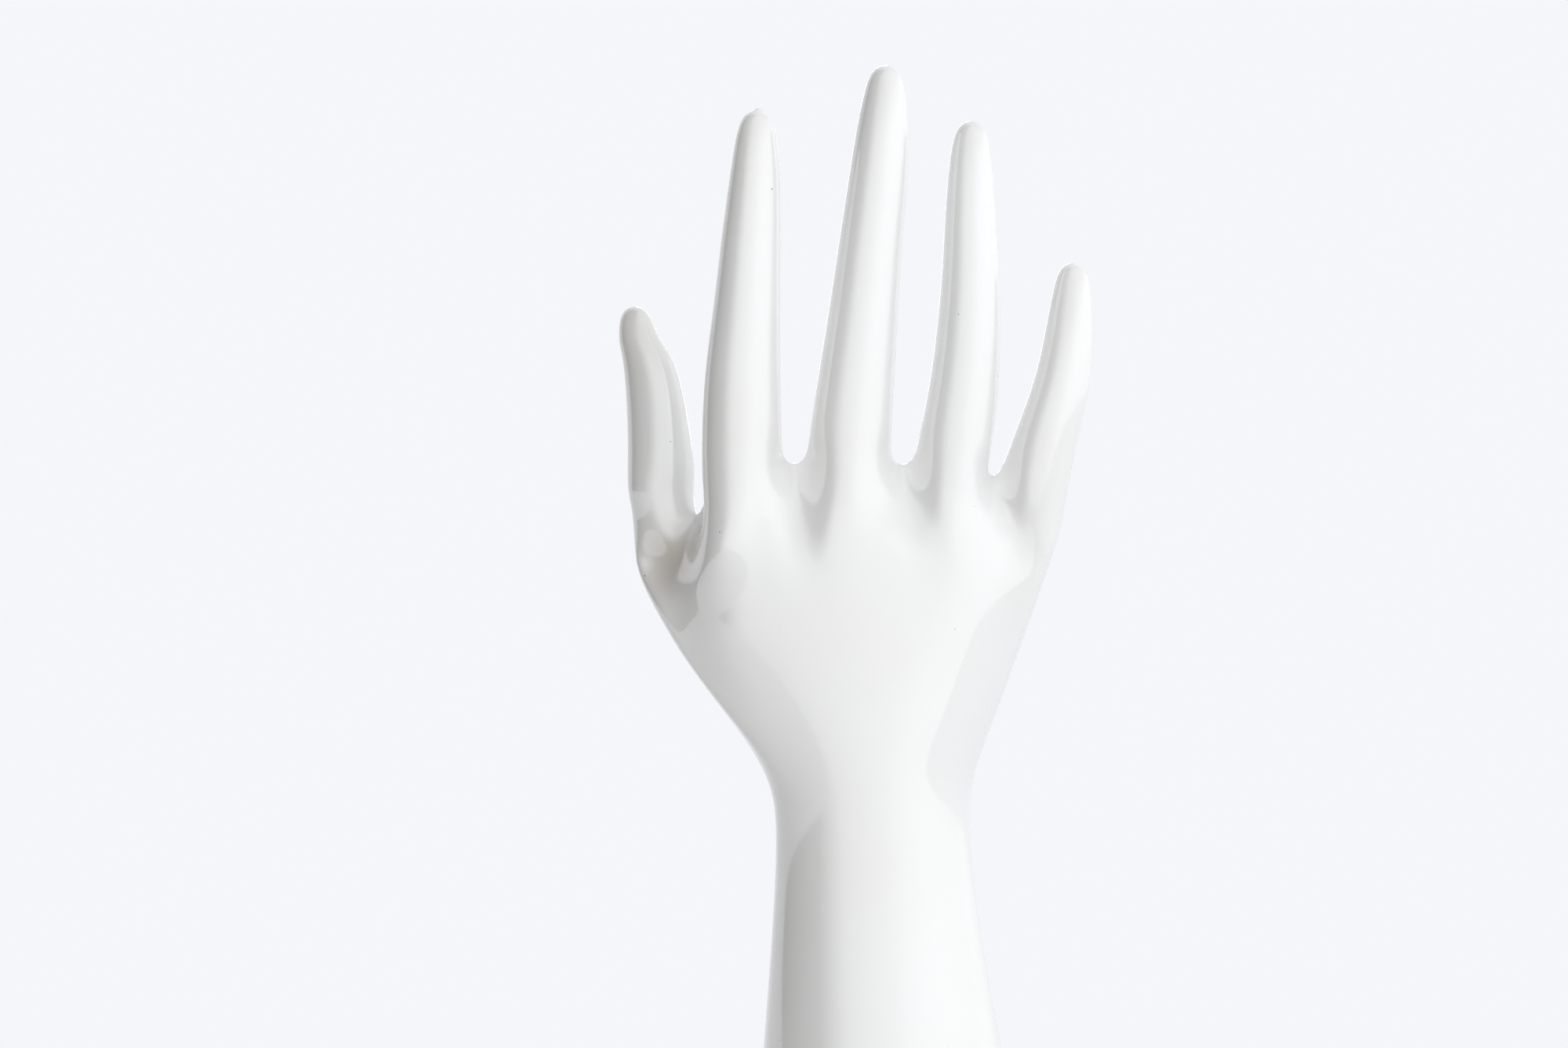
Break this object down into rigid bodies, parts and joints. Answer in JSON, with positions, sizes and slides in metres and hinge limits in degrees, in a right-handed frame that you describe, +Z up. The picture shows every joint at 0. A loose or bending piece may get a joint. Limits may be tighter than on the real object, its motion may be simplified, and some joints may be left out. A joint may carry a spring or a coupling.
{
  "type": "ceramic hand sculpture",
  "caption": "Life-size right hand in hollow white glazed ceramic, fingers upright and slightly spread, standing on a flared forearm with a closed, felted foot.",
  "frame": {"origin": "on the table under the middle of the foot, at the underside of the felt", "axes": "+Z up along the arm to the fingertips, +X across the hand from the thumb to the little finger, +Y from the back of the hand to the palm"},
  "size_m": [0.1239, 0.076, 0.36],
  "materials": {
    "glaze": "glossy white glaze",
    "bisque": "unglazed, matte",
    "felt": "pressed wool felt"
  },
  "bodies": {
    "root": {"forearm": "glaze", "palm": "glaze", "thumb": "glaze", "index_finger": "glaze", "middle_finger": "glaze", "ring_finger": "glaze", "little_finger": "glaze", "base_disc": "bisque", "felt_pad": "felt"}
  },
  "joints": []
}
